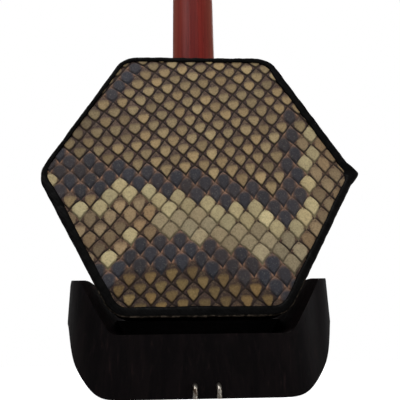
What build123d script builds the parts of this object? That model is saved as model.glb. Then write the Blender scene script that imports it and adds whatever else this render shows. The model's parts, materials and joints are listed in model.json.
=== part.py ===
from build123d import *
from math import cos, radians, sin
import os

# Erhu, unstrung: a two-string spike fiddle with a hexagonal, skin-covered resonator.
#
# Millimetres. +Z is up along the neck, -Y is the front (the skin side), +X is the right seen from the front.
# The origin is where the neck's axis meets the flat underside of the base.

os.makedirs("parts", exist_ok=True)

# ---- driving dimensions ---------------------------------------------------------------------------
# resonator
ACROSS_FLATS = 88.0          # over the edge band, at the front
TUBE_LENGTH = 130.0
TUBE_CENTRE_Z = 65.2         # tube axis above the underside of the base
SKIN_FRONT_Y = -37.0         # outer face of the skin, in front of the neck's axis
SKIN_THICK = 0.8
SKIN_SKIRT = 11.0            # how far the skin is glued back along the tube
BAND_THICK = 0.9
BAND_WIDTH = 14.0            # front to back
BAND_LIP = 2.6               # how far the band turns in over the skin's edge
WALL = 6.0                   # tube boards
WAIST_APOTHEM = 38.6
REAR_APOTHEM = 40.4
CORNER_RADIUS = 8.0          # tube corners, over the edge band

# neck and head
NECK_WIDTH = 18.1
NECK_DEPTH = 18.6
NECK_ROUND = 7.4
PEG_ZONE_WIDTH = 17.0
PEG_ZONE_DEPTH = 18.0
PEG_ZONE_ROUND = 6.2
TAPER_START_Z = 560.0
PEG_ZONE_Z = 618.0
NECK_TOP_Z = 752.0
NECK_FOOT_Z = 6.0
HEAD_TOP_Z = 812.0

# base
BASE_FRONT_Y = -45.0
BASE_LENGTH = 86.0
BASE_HALF_WIDTH = 39.0
HORN_FRONT_Z = 30.4
HORN_TOP_Z = 33.4
HORN_TOP_Y = -24.0
NOTCH_FLOOR_Z = 16.1
NOTCH_FLOOR_HALF = 24.6      # half width of the notch's floor at the front
NOTCH_MOUTH_HALF = 34.0      # half width between the horns at the front, at HORN_FRONT_Z
NOTCH_WAIST_SCALE = 0.86     # the notch closes in with the tube's waist
NOTCH_WAIST_Y = -4.0
NOTCH_CORNER = 3.6
SEAT_PAD_THICK = 1.0
SEAT_PAD_WIDTH = 40.0
SEAT_WIDTH = 60.0
SEAT_FRONT_Y = -19.5
SEAT_REAR_Y = 26.0

# base screw
SCREW_RADIUS = 2.5
SCREW_HEAD_RADIUS = 5.0
SCREW_LENGTH = 34.0
SCREW_RECESS = 3.0
WASHER_THICK = 1.0

# string hooks
HOOK_WIRE = 1.3              # diameter
HOOK_X = (-2.1, 4.0)
HOOK_Z = 3.2
HOOK_REACH = 2.6             # in front of the base
HOOK_DEPTH = 9.0             # into the base

# nut loop
NUT_Z = 486.0
NUT_HEIGHT = 10.0
NUT_THICK = 1.3
NUT_REACH = 16.0             # front of the loop, in front of the neck

# pegs
PEG_HEIGHTS = {"outer": 650.0, "inner": 726.0}
JOURNAL_RADIUS = 3.5
BUSH_CLEARANCE = 0.05
BUSH_RADIUS = 5.0
FLANGE_RADIUS = 6.6
FLANGE_THICK = 1.0
PEG_WASHER_THICK = 0.8
BARREL_RADIUS = 4.5
BARREL_FRONT_Y = -38.0
STRING_HOLE_Y = -25.0
STRING_HOLE_RADIUS = 0.75
HANDLE_END_Y = 112.0
TANG_SIDE = 5.0
TANG_END_Y = 88.0
FERRULE_RADIUS = 7.4
FERRULE_LENGTH = 6.0
FLUTES = 8

# ---- derived --------------------------------------------------------------------------------------
HALF = ACROSS_FLATS / 2
BAND_IN = HALF - BAND_THICK
WOOD_APOTHEM = BAND_IN - SKIN_THICK
WOOD_FRONT_Y = SKIN_FRONT_Y + SKIN_THICK
WOOD_REAR_Y = WOOD_FRONT_Y + TUBE_LENGTH
STRAIGHT_END_Y = WOOD_FRONT_Y + BAND_WIDTH + 2          # the tube runs straight under the skin's skirt
WAIST_Y = (STRAIGHT_END_Y + WOOD_REAR_Y) / 2 + 6        # where the tube is narrowest
BASE_REAR_Y = BASE_FRONT_Y + BASE_LENGTH


def hexagon(apothem, round_by=0.0):
    """Face of a hexagon with flats at top and bottom, in the XZ plane facing -Y, centred on the tube."""
    face = RegularPolygon(apothem, 6, major_radius=False)
    if round_by:
        face = fillet(face.vertices(), round_by)
    return face


def hex_prism(apothem, y_from, y_to, round_by=0.0):
    """Hexagonal prism on the tube's axis between two Y values."""
    plane = Plane(origin=(0, y_to, TUBE_CENTRE_Z), x_dir=(1, 0, 0), z_dir=(0, -1, 0))
    return extrude(plane * hexagon(apothem, round_by), y_to - y_from)


def neck_section(width, depth, round_by, z):
    """Rounded rectangular neck section at height z."""
    return Pos(0, 0, z) * RectangleRounded(width, depth, round_by)


def save(name, shape):
    """Writes one node, keeping every separate solid in it."""
    solids = shape.solids() if hasattr(shape, "solids") else shape
    shape = solids[0] if len(solids) == 1 else Compound(list(solids))
    shape.label = name
    export_step(shape, f"parts/{name}.step")


# ---- neck and head --------------------------------------------------------------------------------
def neck_blank():
    """The neck without its peg bores: straight, then easing to the peg zone."""
    lower = extrude(
        neck_section(NECK_WIDTH, NECK_DEPTH, NECK_ROUND, NECK_FOOT_Z), TAPER_START_Z - NECK_FOOT_Z
    )
    ease = loft([
        neck_section(NECK_WIDTH, NECK_DEPTH, NECK_ROUND, TAPER_START_Z),
        neck_section(PEG_ZONE_WIDTH, PEG_ZONE_DEPTH, PEG_ZONE_ROUND, PEG_ZONE_Z),
    ])
    upper = extrude(
        neck_section(PEG_ZONE_WIDTH, PEG_ZONE_DEPTH, PEG_ZONE_ROUND, PEG_ZONE_Z), NECK_TOP_Z - PEG_ZONE_Z
    )
    return lower + ease + upper


def along_y(radius, y_from, y_to, z=0.0):
    """Round bar parallel to Y."""
    plane = Plane(origin=(0, y_from, z), x_dir=(1, 0, 0), z_dir=(0, 1, 0))
    return extrude(plane * Circle(radius), y_to - y_from)


def make_neck():
    neck = neck_blank()
    half_depth = PEG_ZONE_DEPTH / 2
    for z in PEG_HEIGHTS.values():
        neck -= along_y(BUSH_RADIUS, -20, 20, z)
        neck -= along_y(FLANGE_RADIUS, -20, -half_depth + FLANGE_THICK, z)
        neck -= along_y(FLANGE_RADIUS, half_depth - FLANGE_THICK, 20, z)
    neck -= Pos(0, 0, NECK_FOOT_Z) * extrude(Circle(SCREW_RADIUS), SCREW_LENGTH)
    return neck


def head_side():
    """Side outline of the head, which curls backwards: (y, z) in the YZ plane."""
    half = PEG_ZONE_DEPTH / 2
    front = Spline([(-half, NECK_TOP_Z), (-6.5, 780), (8, 804), (27, HEAD_TOP_Z)], tangents=((0, 1), (1, 0.05)))
    tip = ThreePointArc((27, HEAD_TOP_Z), (39, 803), (29, 794))
    back = Spline([(29, 794), (15, 784), (half, NECK_TOP_Z)], tangents=((-1, 0.02), (0, -1)))
    foot = Line((half, NECK_TOP_Z), (-half, NECK_TOP_Z))
    return make_face([front, tip, back, foot])


CAP_PLANE_Y = 29.5


def make_head():
    """Curled head block, and the bone cap on its end."""
    plane = Plane(origin=(-PEG_ZONE_WIDTH / 2, 0, 0), x_dir=(0, 1, 0), z_dir=(1, 0, 0))
    block = extrude(plane * head_side(), PEG_ZONE_WIDTH)
    blank = extrude(neck_section(PEG_ZONE_WIDTH, PEG_ZONE_DEPTH, PEG_ZONE_ROUND, NECK_TOP_Z), 16)
    upper = block - Pos(0, 0, NECK_TOP_Z + 8) * Box(60, 60, 16)
    long_edges = [
        e for e in upper.edges()
        if e.length > 12 and abs(abs(e.center().X) - PEG_ZONE_WIDTH / 2) < 0.1
    ]
    upper = fillet(long_edges, 4.0)
    lower = blank & block
    head = upper + lower
    cap_side = Pos(0, CAP_PLANE_Y + 20, HEAD_TOP_Z) * Box(60, 40, 80)
    return head - cap_side, head & cap_side


# ---- resonator ------------------------------------------------------------------------------------
def waist_arc(inset):
    """The tube's outer curve in (y, distance from the axis), set in towards the axis by inset."""
    return ThreePointArc(
        (STRAIGHT_END_Y, WOOD_APOTHEM - inset), (WAIST_Y, WAIST_APOTHEM - inset), (WOOD_REAR_Y, REAR_APOTHEM - inset)
    )


def board_profile():
    """Section of one tube board: straight under the skin, then waisted."""
    outer = waist_arc(0)
    inner = waist_arc(WALL)
    return make_face([
        outer,
        Line(outer @ 1, inner @ 1),
        inner,
        Polyline([inner @ 0, (WOOD_FRONT_Y, WOOD_APOTHEM - WALL), (WOOD_FRONT_Y, WOOD_APOTHEM), outer @ 0]),
    ])


def make_board(turn):
    """One mitred board of the tube, turned about the tube's axis. turn 0 is the top board."""
    side = Plane(origin=(-40, 0, 0), x_dir=(0, 1, 0), z_dir=(1, 0, 0))
    slab = extrude(side * board_profile(), 80)
    reach = 70.0
    wedge_plane = Plane(origin=(0, WOOD_REAR_Y + 1, 0), x_dir=(1, 0, 0), z_dir=(0, -1, 0))
    corners = [(0, 0), (reach * sin(radians(30)), reach * cos(radians(30))),
               (-reach * sin(radians(30)), reach * cos(radians(30)))]
    wedge = extrude(wedge_plane * make_face(Polyline(corners, close=True)), TUBE_LENGTH + 2)
    board = slab & wedge
    rounding = CORNER_RADIUS - BAND_THICK - SKIN_THICK
    trim = Pos(0, 0, -TUBE_CENTRE_Z) * hex_prism(WOOD_APOTHEM, WOOD_FRONT_Y, WOOD_REAR_Y, rounding)
    board &= trim
    board = Pos(0, 0, TUBE_CENTRE_Z) * Rot(0, turn, 0) * board
    return board


def make_tube():
    """The six boards, with the neck's hole in the top and bottom ones."""
    names = {
        "top": 0, "upper_right": 60, "lower_right": 120,
        "bottom": 180, "lower_left": 240, "upper_left": 300,
    }
    hole = extrude(neck_section(NECK_WIDTH, NECK_DEPTH, NECK_ROUND, 0), 200)
    boards = {}
    for name, turn in names.items():
        board = make_board(turn)
        if name in ("top", "bottom"):
            board -= hole
        boards[f"tube_board_{name}"] = board
    return boards


def make_skin():
    """Skin cap: a flat face and a skirt glued round the front of the tube."""
    back_y = WOOD_FRONT_Y + SKIN_SKIRT
    rounding = CORNER_RADIUS - BAND_THICK
    outer = hex_prism(BAND_IN, SKIN_FRONT_Y, back_y, rounding)
    return outer - hex_prism(WOOD_APOTHEM, WOOD_FRONT_Y, back_y, rounding - SKIN_THICK)


def make_band():
    """Edge band round the skirt, with a lip over the skin's edge."""
    lip_front = SKIN_FRONT_Y - BAND_THICK
    back_y = lip_front + BAND_WIDTH
    ring = hex_prism(HALF, lip_front, back_y, CORNER_RADIUS)
    ring -= hex_prism(BAND_IN, SKIN_FRONT_Y, back_y, CORNER_RADIUS - BAND_THICK)
    return ring - hex_prism(HALF - BAND_LIP, lip_front, SKIN_FRONT_Y, CORNER_RADIUS - BAND_LIP)


def make_sound_window():
    """Pierced rear window: a ring of petals round a rosette of small holes."""
    front_y = WOOD_REAR_Y - 5.0
    apothem = REAR_APOTHEM - WALL - 0.6
    window = hex_prism(apothem, front_y, WOOD_REAR_Y)
    plane = Plane(origin=(0, WOOD_REAR_Y + 1, TUBE_CENTRE_Z), x_dir=(1, 0, 0), z_dir=(0, -1, 0))
    for k in range(6):
        petal = Rot(0, 0, 60 * k + 30) * Pos(19, 0) * Ellipse(8.2, 5.0)
        window -= extrude(plane * petal, 8)
        corner = Rot(0, 0, 60 * k) * Pos(26.5, 0) * Ellipse(4.6, 3.0)
        window -= extrude(plane * corner, 8)
        eye = Rot(0, 0, 60 * k) * Pos(6.4, 0) * Circle(2.1)
        window -= extrude(plane * eye, 8)
    return window - extrude(plane * Circle(2.1), 8)


# ---- base -----------------------------------------------------------------------------------------
def both_sides(edges):
    """Face made of the closed right-hand edges and their mirror image."""
    half = make_face(edges)
    return half + mirror(half, about=Plane.YZ)


def base_front_outline():
    """Front outline of the base: flat underside, boat-shaped sides, upright horns."""
    wide = BASE_HALF_WIDTH
    flank = Spline(
        [(19.0, 0), (27.8, 1.5), (31.4, 5.0), (35.0, 10.6), (37.8, 19.0), (wide, 28.5)], tangents=((1, 0), (0, 1))
    )
    shoulder = ThreePointArc((wide, 28.5), (wide - 0.9, HORN_TOP_Z - 1.2), (wide - 3.2, HORN_TOP_Z))
    return both_sides([
        Line((0, 0), (19.0, 0)), flank, shoulder,
        Polyline([(wide - 3.2, HORN_TOP_Z), (0, HORN_TOP_Z), (0, 0)]),
    ])


def base_plan():
    """Plan outline: a bowed front that rounds into the sides, and a narrower rounded rear."""
    wide = BASE_HALF_WIDTH + 0.6
    wide_y = BASE_FRONT_Y + 19
    front = Spline(
        [(15, BASE_FRONT_Y), (32.8, BASE_FRONT_Y + 3.0), (wide, wide_y)], tangents=((1, 0), (0, 1))
    )
    rear = Spline([(wide, wide_y), (35, BASE_REAR_Y - 22), (17, BASE_REAR_Y)], tangents=((0, 1), (-1, 0)))
    return both_sides([
        Line((0, BASE_FRONT_Y), (15, BASE_FRONT_Y)), front, rear,
        Polyline([(17, BASE_REAR_Y), (0, BASE_REAR_Y), (0, BASE_FRONT_Y)]),
    ])


def base_side():
    """Side outline: horns rising a little behind the front, then sweeping down to a low rear edge."""
    front_y = BASE_FRONT_Y - 1
    horn = Spline(
        [(BASE_REAR_Y + 0.5, 17), (BASE_REAR_Y - 26, 21.5), (HORN_TOP_Y, HORN_TOP_Z), (front_y, HORN_FRONT_Z)],
        tangents=((-1, 0), (-1, -0.16)),
    )
    return make_face([
        Line((front_y, 0), (BASE_REAR_Y - 8, 0)),
        ThreePointArc((BASE_REAR_Y - 8, 0), (BASE_REAR_Y - 2.3, 2.3), (BASE_REAR_Y + 0.5, 8)),
        Line((BASE_REAR_Y + 0.5, 8), (BASE_REAR_Y + 0.5, 17)),
        horn,
        Line((front_y, HORN_FRONT_Z), (front_y, 0)),
    ])


def notch_loft():
    """Trough between the horns: a flat floor and sloping sides, closing in to the tube's waist."""
    slope = (NOTCH_MOUTH_HALF - NOTCH_FLOOR_HALF) / (HORN_FRONT_Z - NOTCH_FLOOR_Z)
    height = HORN_TOP_Z + 4 - NOTCH_FLOOR_Z
    sections = []
    stations = (
        (BASE_FRONT_Y - 1, 1.0), (NOTCH_WAIST_Y, NOTCH_WAIST_SCALE), (BASE_REAR_Y + 1, NOTCH_WAIST_SCALE)
    )
    for y, scale in stations:
        floor_half = NOTCH_FLOOR_HALF * scale
        top_half = floor_half + slope * height
        outline = make_face(Polyline(
            [(-floor_half, 0), (floor_half, 0), (top_half, height), (-top_half, height)], close=True
        ))
        outline = fillet(outline.vertices().group_by(Axis.Y)[0], NOTCH_CORNER)
        plane = Plane(origin=(0, y, NOTCH_FLOOR_Z), x_dir=(1, 0, 0), z_dir=(0, -1, 0))
        sections.append(plane * outline)
    return loft(sections, ruled=True)


def seat_column(width):
    """Rounded column round the neck socket, taller than the seat itself."""
    plan = Pos(0, (SEAT_FRONT_Y + SEAT_REAR_Y) / 2) * RectangleRounded(width, SEAT_REAR_Y - SEAT_FRONT_Y, 4)
    return Pos(0, 0, NOTCH_FLOOR_Z - 1) * extrude(plan, 20)


def under_tube(drop):
    """Everything below the curve of the tube's underside lowered by drop."""
    arc = mirror(waist_arc(-drop), about=Plane.XZ)
    front, rear = arc @ 0, arc @ 1
    profile = make_face([
        arc, Polyline([rear, (rear.X, -80), (front.X, -80), front])
    ])
    plane = Plane(origin=(-40, 0, TUBE_CENTRE_Z), x_dir=(0, 1, 0), z_dir=(1, 0, 0))
    return extrude(plane * profile, 80)


def make_base():
    """Carved base block: notch for the tube, raised seat round the neck socket, screw and hook holes."""
    front = Plane(origin=(0, BASE_REAR_Y, 0), x_dir=(1, 0, 0), z_dir=(0, -1, 0))
    side = Plane(origin=(-40, 0, 0), x_dir=(0, 1, 0), z_dir=(1, 0, 0))
    block = extrude(front * base_front_outline(), BASE_LENGTH)
    block &= extrude(base_plan(), HORN_TOP_Z + 2)
    block &= extrude(side * base_side(), 80)
    block -= notch_loft()
    block += seat_column(SEAT_WIDTH) & under_tube(SEAT_PAD_THICK)
    socket = extrude(neck_section(NECK_WIDTH, NECK_DEPTH, NECK_ROUND, NECK_FOOT_Z), 40)
    block -= socket
    block -= extrude(Circle(SCREW_RADIUS + 0.3), 20)
    block -= extrude(Circle(SCREW_HEAD_RADIUS + 0.8), SCREW_RECESS + WASHER_THICK)
    for x in HOOK_X:
        hole = Plane(origin=(x, BASE_FRONT_Y - 1, HOOK_Z), x_dir=(1, 0, 0), z_dir=(0, 1, 0))
        block -= extrude(hole * Circle(HOOK_WIRE / 2), HOOK_DEPTH + 1)
    return block


def make_seat_pad():
    """Felt pad between the base's seat and the waisted underside of the tube."""
    pad = (seat_column(SEAT_PAD_WIDTH) & under_tube(0)) - under_tube(SEAT_PAD_THICK)
    return pad - extrude(neck_section(NECK_WIDTH, NECK_DEPTH, NECK_ROUND, 0), 40)


def make_base_screw():
    """Pan-head screw from the underside of the base up into the neck."""
    head_z = SCREW_RECESS - 2.4
    head = Pos(0, 0, head_z) * extrude(Circle(SCREW_HEAD_RADIUS - 0.6), 2.4)
    head = fillet(head.edges().group_by(Axis.Z)[0], 1.2)
    head -= Pos(0, 0, head_z) * Box(1.2, 12, 2.0)
    tip_z = NECK_FOOT_Z + SCREW_LENGTH
    shank = Pos(0, 0, SCREW_RECESS) * extrude(Circle(SCREW_RADIUS), tip_z - SCREW_RECESS)
    return head + shank


def make_base_washer():
    ring = Circle(SCREW_HEAD_RADIUS + 0.5) - Circle(SCREW_RADIUS + 0.1)
    return Pos(0, 0, SCREW_RECESS) * extrude(ring, WASHER_THICK)


def make_hooks():
    """Two bent steel wires that hold the strings' lower loops."""
    hooks = []
    for x in HOOK_X:
        bend_y = BASE_FRONT_Y - HOOK_REACH
        path = FilletPolyline(
            (x, BASE_FRONT_Y + HOOK_DEPTH, HOOK_Z), (x, bend_y, HOOK_Z), (x, bend_y, 0.2), radius=1.2
        )
        section = Plane(origin=path @ 0, z_dir=path % 0) * Circle(HOOK_WIRE / 2)
        hooks.append(sweep(section, path=path))
    return Compound(hooks)


# ---- nut loop -------------------------------------------------------------------------------------
def nut_outline(grow):
    """Teardrop round the neck that reaches forward to where the strings would pass."""
    round_back = RectangleRounded(
        NECK_WIDTH + 2 * grow, NECK_DEPTH + 2 * grow, NECK_ROUND + grow
    )
    front = Pos(0, -NECK_DEPTH / 2 - NUT_REACH) * Circle(1.6 + grow)
    return make_hull((round_back + front).edges())


def make_nut_loop():
    inner = nut_outline(0.05)
    outer = nut_outline(0.05 + NUT_THICK)
    return Pos(0, 0, NUT_Z - NUT_HEIGHT / 2) * extrude(outer - inner, NUT_HEIGHT)


# ---- pegs -----------------------------------------------------------------------------------------
HALF_DEPTH = PEG_ZONE_DEPTH / 2
WASHER_OUT = HALF_DEPTH + PEG_WASHER_THICK


def turned(points_and_arcs):
    """Solid of revolution about Y from a closed outline in (radius, y)."""
    return revolve(make_face(points_and_arcs), Axis.Y)


def peg_bushes():
    """Flanged brass bushes let into the front and back of the neck."""
    bore = along_y(JOURNAL_RADIUS + BUSH_CLEARANCE, -20, 20)
    front = along_y(BUSH_RADIUS, -HALF_DEPTH, -1) + along_y(FLANGE_RADIUS, -HALF_DEPTH, -HALF_DEPTH + FLANGE_THICK)
    rear = along_y(BUSH_RADIUS, 1, HALF_DEPTH) + along_y(FLANGE_RADIUS, HALF_DEPTH - FLANGE_THICK, HALF_DEPTH)
    return Compound([front - bore, rear - bore])


def peg_washers():
    """Friction washers in front of and behind the neck."""
    bore = along_y(JOURNAL_RADIUS, -20, 20)
    front = along_y(6.0, -WASHER_OUT, -HALF_DEPTH)
    rear = along_y(6.0, HALF_DEPTH, WASHER_OUT)
    return Compound([front - bore, rear - bore])


def peg_spindle():
    """String barrel at the front, journal through the neck, square tang into the handle."""
    journal = along_y(JOURNAL_RADIUS, -WASHER_OUT, WASHER_OUT)
    barrel = turned([
        Polyline([(0, -WASHER_OUT), (BARREL_RADIUS, -WASHER_OUT), (BARREL_RADIUS, -14), (4.0, -15.5),
                  (3.6, -21), (3.6, -30), (4.0, -33)]),
        ThreePointArc((4.0, -33), (3.2, -36.6), (1.2, BARREL_FRONT_Y)),
        Polyline([(1.2, BARREL_FRONT_Y), (0, BARREL_FRONT_Y), (0, -WASHER_OUT)]),
    ])
    tang = Pos(0, (WASHER_OUT + TANG_END_Y) / 2, 0) * Box(TANG_SIDE, TANG_END_Y - WASHER_OUT, TANG_SIDE)
    hole = Plane(origin=(-10, STRING_HOLE_Y, 0), x_dir=(0, 1, 0), z_dir=(1, 0, 0))
    spindle = journal + barrel + tang
    spindle -= extrude(hole * Circle(STRING_HOLE_RADIUS), 20)
    return spindle - along_y(1.25, TANG_END_Y - 12, TANG_END_Y + 1)


def peg_handle():
    """Fluted wooden handle, thin by the neck and full at the end."""
    start = WASHER_OUT
    swell = Spline([(6.6, start + FERRULE_LENGTH), (7.0, 38), (9.8, 84), (11.2, 101)])
    handle = turned([
        Polyline([(0, start), (5.6, start), (5.6, start + FERRULE_LENGTH), (6.6, start + FERRULE_LENGTH)]),
        swell,
        ThreePointArc((11.2, 101), (10.2, 108.5), (5.0, HANDLE_END_Y)),
        Line((5.0, HANDLE_END_Y), (0, HANDLE_END_Y)),
        Line((0, HANDLE_END_Y), (0, start)),
    ])
    groove_plane = Plane(origin=(0, 26, 8.9), x_dir=(1, 0, 0), z_dir=(0, 1, 0.052))
    groove = extrude(groove_plane * Circle(2.4), 70)
    tip = Pos(*(groove_plane.origin + groove_plane.z_dir * 70)) * Sphere(2.4)
    start_ball = Pos(*groove_plane.origin) * Sphere(2.4)
    for k in range(FLUTES):
        handle -= Rot(0, 360 / FLUTES * k, 0) * (groove + tip + start_ball)
    tang = Pos(0, (start + TANG_END_Y) / 2, 0) * Box(TANG_SIDE, TANG_END_Y - start, TANG_SIDE)
    handle -= tang
    handle -= along_y(1.6, TANG_END_Y, HANDLE_END_Y)
    return handle - along_y(4.0, HANDLE_END_Y - 7, HANDLE_END_Y + 1)


def peg_ferrule():
    start = WASHER_OUT
    outer = along_y(FERRULE_RADIUS, start, start + FERRULE_LENGTH)
    outer = fillet(outer.edges(), 0.6)
    return outer - along_y(5.6, start - 1, start + FERRULE_LENGTH + 1)


def peg_screw():
    """Screw that draws the handle onto the tang; its head sits under the end button."""
    head_y = HANDLE_END_Y - 7
    shank = along_y(1.25, TANG_END_Y - 12, head_y)
    head = along_y(2.8, head_y, head_y + 1.8)
    return head + shank


def peg_button():
    """Domed bone button that closes the handle's end."""
    inner_y = HANDLE_END_Y - 5.0
    return turned([
        Line((0, inner_y), (4.0, inner_y)),
        Line((4.0, inner_y), (4.0, HANDLE_END_Y)),
        ThreePointArc((4.0, HANDLE_END_Y), (3.0, HANDLE_END_Y + 1.6), (1.2, HANDLE_END_Y + 2.3)),
        Polyline([(1.2, HANDLE_END_Y + 2.3), (0, HANDLE_END_Y + 2.3), (0, inner_y)]),
    ])


def make_peg(name, z):
    """Every piece of one peg, lifted to its height on the neck."""
    pieces = {
        "bushes": peg_bushes(), "washers": peg_washers(), "spindle": peg_spindle(),
        "handle": peg_handle(), "ferrule": peg_ferrule(), "screw": peg_screw(), "button": peg_button(),
    }
    return {f"{name}_peg_{piece}": Pos(0, 0, z) * shape for piece, shape in pieces.items()}


# ---- the whole instrument -------------------------------------------------------------------------
head, head_cap = make_head()
nodes = {
    "neck": make_neck(),
    "head": head,
    "head_cap": head_cap,
    **make_tube(),
    "snakeskin": make_skin(),
    "edge_band": make_band(),
    "sound_window": make_sound_window(),
    "base": make_base(),
    "seat_pad": make_seat_pad(),
    "base_screw": make_base_screw(),
    "base_washer": make_base_washer(),
    "string_hooks": make_hooks(),
    "nut_loop": make_nut_loop(),
}
for peg_name, peg_z in PEG_HEIGHTS.items():
    nodes.update(make_peg(peg_name, peg_z))
for node_name, node_shape in nodes.items():
    save(node_name, node_shape)
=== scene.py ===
"""Looks for the erhu: procedural materials, and a mesh-built skin, edge band, felt pad and cord loop.

Metres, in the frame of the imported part: +Z up along the neck, skin face towards -Y, +X to the right.
"""

import itertools
import json
import math
import random
from typing import NamedTuple

import bmesh
import bpy
from mathutils import Matrix, Vector, noise


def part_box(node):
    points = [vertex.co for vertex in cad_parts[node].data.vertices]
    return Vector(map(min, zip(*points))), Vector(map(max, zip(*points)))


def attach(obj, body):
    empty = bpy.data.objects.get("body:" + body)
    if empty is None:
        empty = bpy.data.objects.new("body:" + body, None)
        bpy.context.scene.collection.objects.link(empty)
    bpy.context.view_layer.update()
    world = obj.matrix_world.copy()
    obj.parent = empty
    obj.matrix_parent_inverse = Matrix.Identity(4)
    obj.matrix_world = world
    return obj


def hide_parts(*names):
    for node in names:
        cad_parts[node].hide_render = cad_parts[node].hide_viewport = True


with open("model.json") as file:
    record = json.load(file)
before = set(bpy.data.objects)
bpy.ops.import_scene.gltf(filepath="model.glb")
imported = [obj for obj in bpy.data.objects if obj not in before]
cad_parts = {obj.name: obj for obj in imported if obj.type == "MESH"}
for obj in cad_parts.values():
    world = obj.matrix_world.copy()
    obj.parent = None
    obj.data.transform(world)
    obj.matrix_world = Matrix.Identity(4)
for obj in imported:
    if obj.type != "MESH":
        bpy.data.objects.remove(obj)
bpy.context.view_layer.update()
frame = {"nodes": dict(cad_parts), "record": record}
MM = 0.001
ROOT = "instrument"


# ---- sizes read from the frame --------------------------------------------------------------------
skin_low, skin_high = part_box("snakeskin")
band_low, band_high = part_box("edge_band")
FACE_Y = skin_low[1]                                   # outer face of the skin
FACE_Z = (skin_low[2] + skin_high[2]) / 2              # height of the tube's axis
BAND_APOTHEM = (band_high[2] - band_low[2]) / 2
BAND_BACK_Y = band_high[1]
SKIN_APOTHEM = (skin_high[2] - skin_low[2]) / 2
SKIN_BACK_Y = skin_high[1]


# ---- node helpers ---------------------------------------------------------------------------------
class Shader:
    """Builds one material's node tree around a Principled BSDF."""

    def __init__(self, name):
        self.material = bpy.data.materials.new(name)
        self.material.use_nodes = True
        self.tree = self.material.node_tree
        self.bsdf = self.tree.nodes["Principled BSDF"]

    def node(self, kind, **settings):
        made = self.tree.nodes.new(kind)
        for key, value in settings.items():
            setattr(made, key, value)
        return made

    def link(self, source, target):
        """Links a socket, or sets a plain value."""
        if is_socket(source):
            self.tree.links.new(source, target)
        else:
            target.default_value = source

    def coords(self, stretch):
        """Object coordinates in millimetres, divided by stretch."""
        source = self.node("ShaderNodeTexCoord").outputs["Object"]
        mapping = self.node("ShaderNodeMapping")
        mapping.inputs["Scale"].default_value = [1 / (MM * s) for s in stretch]
        self.link(source, mapping.inputs["Vector"])
        return mapping.outputs["Vector"]

    def noise(self, vector, scale=1.0, detail=4.0, roughness=0.55, distortion=0.0):
        made = self.node("ShaderNodeTexNoise")
        self.link(vector, made.inputs["Vector"])
        made.inputs["Scale"].default_value = scale
        made.inputs["Detail"].default_value = detail
        made.inputs["Roughness"].default_value = roughness
        made.inputs["Distortion"].default_value = distortion
        return made.outputs["Fac"]

    def math(self, operation, a, b=0.0, clamp=False):
        made = self.node("ShaderNodeMath", operation=operation, use_clamp=clamp)
        self.link(a, made.inputs[0])
        self.link(b, made.inputs[1])
        return made.outputs[0]

    def smooth(self, value, low, high, out_low=0.0, out_high=1.0):
        made = self.node("ShaderNodeMapRange", interpolation_type="SMOOTHSTEP")
        self.link(value, made.inputs["Value"])
        self.link(low, made.inputs["From Min"])
        self.link(high, made.inputs["From Max"])
        made.inputs["To Min"].default_value = out_low
        made.inputs["To Max"].default_value = out_high
        return made.outputs[0]

    def mix(self, factor, a, b, blend="MIX"):
        made = self.node("ShaderNodeMix", data_type="RGBA", blend_type=blend)
        self.link(factor, made.inputs[0])
        color_a, color_b = made.inputs[6], made.inputs[7]
        self.link(a if is_socket(a) else rgb(a), color_a)
        self.link(b if is_socket(b) else rgb(b), color_b)
        return made.outputs[2]

    def norm(self, a, b, power):
        """(a^power + b^power)^(1/power): a rounded maximum."""
        total = self.math("ADD", self.math("POWER", a, power), self.math("POWER", b, power))
        return self.math("POWER", total, 1 / power)

    def bump(self, height, distance_mm, strength):
        made = self.node("ShaderNodeBump")
        self.link(height, made.inputs["Height"])
        made.inputs["Distance"].default_value = distance_mm * MM
        made.inputs["Strength"].default_value = strength
        return made.outputs["Normal"]

    def finish(self, color, roughness, normal=None, metallic=0.0, coat=0.0, specular=0.5):
        """Joins colour, roughness and bump to the shader and gives back the material."""
        self.link(color, self.bsdf.inputs["Base Color"])
        self.link(roughness, self.bsdf.inputs["Roughness"])
        self.bsdf.inputs["Metallic"].default_value = metallic
        self.bsdf.inputs["Coat Weight"].default_value = coat
        self.bsdf.inputs["Coat Roughness"].default_value = 0.2
        self.bsdf.inputs["Specular IOR Level"].default_value = specular
        if normal is not None:
            self.link(normal, self.bsdf.inputs["Normal"])
        return self.material


def is_socket(value):
    return isinstance(value, bpy.types.NodeSocket)


def linear(channel):
    """One sRGB channel, 0 to 255, as linear light."""
    c = channel / 255
    return c / 12.92 if c <= 0.04045 else ((c + 0.055) / 1.055) ** 2.4


def rgb(color):
    """sRGB 0 to 255 as a linear RGBA tuple."""
    return (linear(color[0]), linear(color[1]), linear(color[2]), 1.0)


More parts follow.
